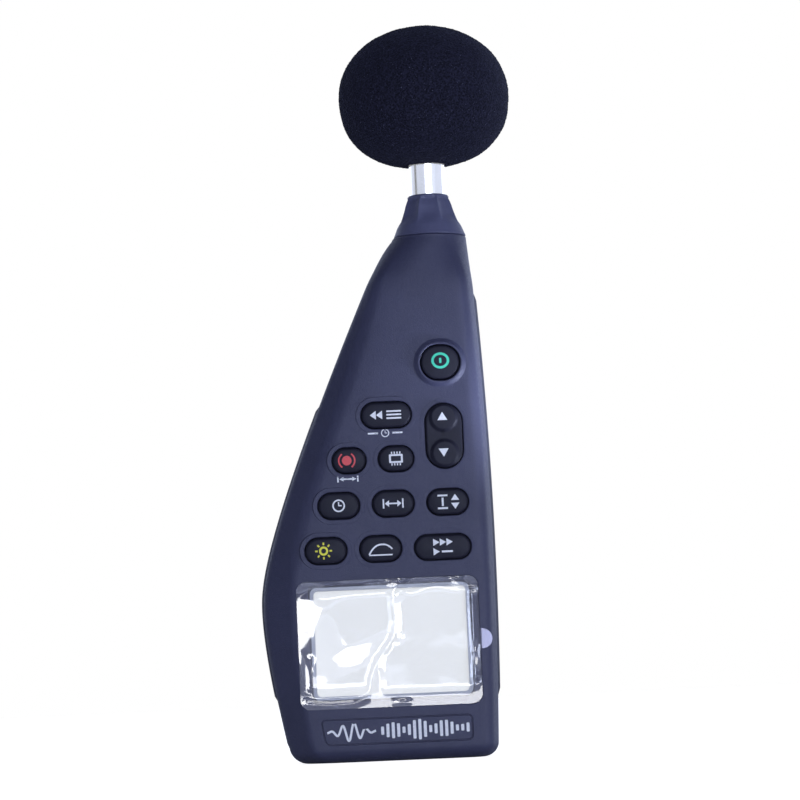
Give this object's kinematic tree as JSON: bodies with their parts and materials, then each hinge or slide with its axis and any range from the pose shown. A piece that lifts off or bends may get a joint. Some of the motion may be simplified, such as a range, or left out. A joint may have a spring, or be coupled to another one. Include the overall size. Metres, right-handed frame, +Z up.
{
  "type": "sound level meter",
  "caption": "Hand-held sound level meter: asymmetric tapering case with keypad and display, fluted nose cone, chromed microphone tube and foam ball windscreen.",
  "frame": {"origin": "where the microphone axis meets the flat bottom of the case", "axes": "+Z up along the microphone axis, -Y out of the front face (screen and keys), +X to the right seen from the front"},
  "size_m": [0.0987, 0.0632, 0.2704],
  "materials": {
    "case": "matte",
    "grip": "matte",
    "key": "satin",
    "seal": "matte",
    "chrome": "polished",
    "insulator": "satin",
    "gold": "satin",
    "steel": "satin",
    "board": "satin",
    "foam": "matte",
    "clear": "gloss",
    "film": "gloss",
    "dark_plastic": "satin",
    "display": "satin",
    "light_guide": "satin",
    "mat": "matte",
    "cell": "gloss",
    "wire": "satin",
    "trimmer": "gloss"
  },
  "bodies": {
    "body": {"front_shell": "case", "rear_shell": "case", "left_grip": "grip", "right_grip": "grip", "tube_seal": "seal", "mic_tube": "chrome", "preamp_board": "board", "mic_housing": "chrome", "mic_insulator": "insulator", "mic_backplate": "gold", "mic_diaphragm": "steel", "mic_grid": "chrome", "lcd_window": "clear", "screen_film": "film", "lcd_frame": "dark_plastic", "lcd_glass": "display", "lcd_backlight": "light_guide", "zebra_strip": "seal", "main_board": "board", "board_chips": "dark_plastic", "board_screws": "steel", "keypad_mat": "mat", "mic_cable": "seal", "battery_cells": "cell", "battery_springs": "steel", "battery_plates": "steel", "battery_leads": "wire", "tripod_insert": "gold", "case_screws": "steel", "power_jack": "dark_plastic", "output_jack": "dark_plastic", "data_port": "steel", "cal_trimmer": "trimmer"},
    "battery_door": {"battery_door": "case"},
    "nose_cone": {"nose_cone": "case"},
    "windscreen": {"windscreen": "foam"},
    "cal_screw": {"cal_screw": "gold"},
    "key_power": {"key_power": "key"},
    "key_recall": {"key_recall": "key"},
    "key_up_down": {"key_up_down": "key"},
    "key_record": {"key_record": "key"},
    "key_memory": {"key_memory": "key"},
    "key_clock": {"key_clock": "key"},
    "key_interval": {"key_interval": "key"},
    "key_min_max": {"key_min_max": "key"},
    "key_backlight": {"key_backlight": "key"},
    "key_weighting": {"key_weighting": "key"},
    "key_response": {"key_response": "key"}
  },
  "joints": [
    {"name": "power_press", "type": "slide", "parent": "body", "child": "key_power", "axis": [0, 1, 0], "range_m": [0, 0.0009]},
    {"name": "recall_press", "type": "slide", "parent": "body", "child": "key_recall", "axis": [0, 1, 0], "range_m": [0, 0.0009]},
    {"name": "up_down_rock", "type": "hinge", "parent": "body", "child": "key_up_down", "pos_m": [0.0018, -0.0135, 0.1163], "axis": [1, 0, 0], "range_deg": [-3.5, 3.5]},
    {"name": "record_press", "type": "slide", "parent": "body", "child": "key_record", "axis": [0, 1, 0], "range_m": [0, 0.0009]},
    {"name": "memory_press", "type": "slide", "parent": "body", "child": "key_memory", "axis": [0, 1, 0], "range_m": [0, 0.0009]},
    {"name": "clock_press", "type": "slide", "parent": "body", "child": "key_clock", "axis": [0, 1, 0], "range_m": [0, 0.0009]},
    {"name": "interval_press", "type": "slide", "parent": "body", "child": "key_interval", "axis": [0, 1, 0], "range_m": [0, 0.0009]},
    {"name": "min_max_press", "type": "slide", "parent": "body", "child": "key_min_max", "axis": [0, 1, 0], "range_m": [0, 0.0009]},
    {"name": "backlight_press", "type": "slide", "parent": "body", "child": "key_backlight", "axis": [0, 1, 0], "range_m": [0, 0.0009]},
    {"name": "weighting_press", "type": "slide", "parent": "body", "child": "key_weighting", "axis": [0, 1, 0], "range_m": [0, 0.0009]},
    {"name": "response_press", "type": "slide", "parent": "body", "child": "key_response", "axis": [0, 1, 0], "range_m": [0, 0.0009]},
    {"name": "windscreen_pull", "type": "slide", "parent": "body", "child": "windscreen", "axis": [0, 0, 1], "range_m": [0, 0.045]},
    {"name": "nose_turn", "type": "hinge", "parent": "body", "child": "nose_cone", "pos_m": [0, 0, 0.2], "axis": [0, 0, 1], "range_deg": [0, 180]},
    {"name": "door_slide", "type": "slide", "parent": "body", "child": "battery_door", "axis": [0, 0, -1], "range_m": [0, 0.075]},
    {"name": "cal_turn", "type": "hinge", "parent": "body", "child": "cal_screw", "pos_m": [-0.041, -0.0033, 0.005], "axis": [0, 0, 1], "range_deg": [-130, 130]}
  ]
}
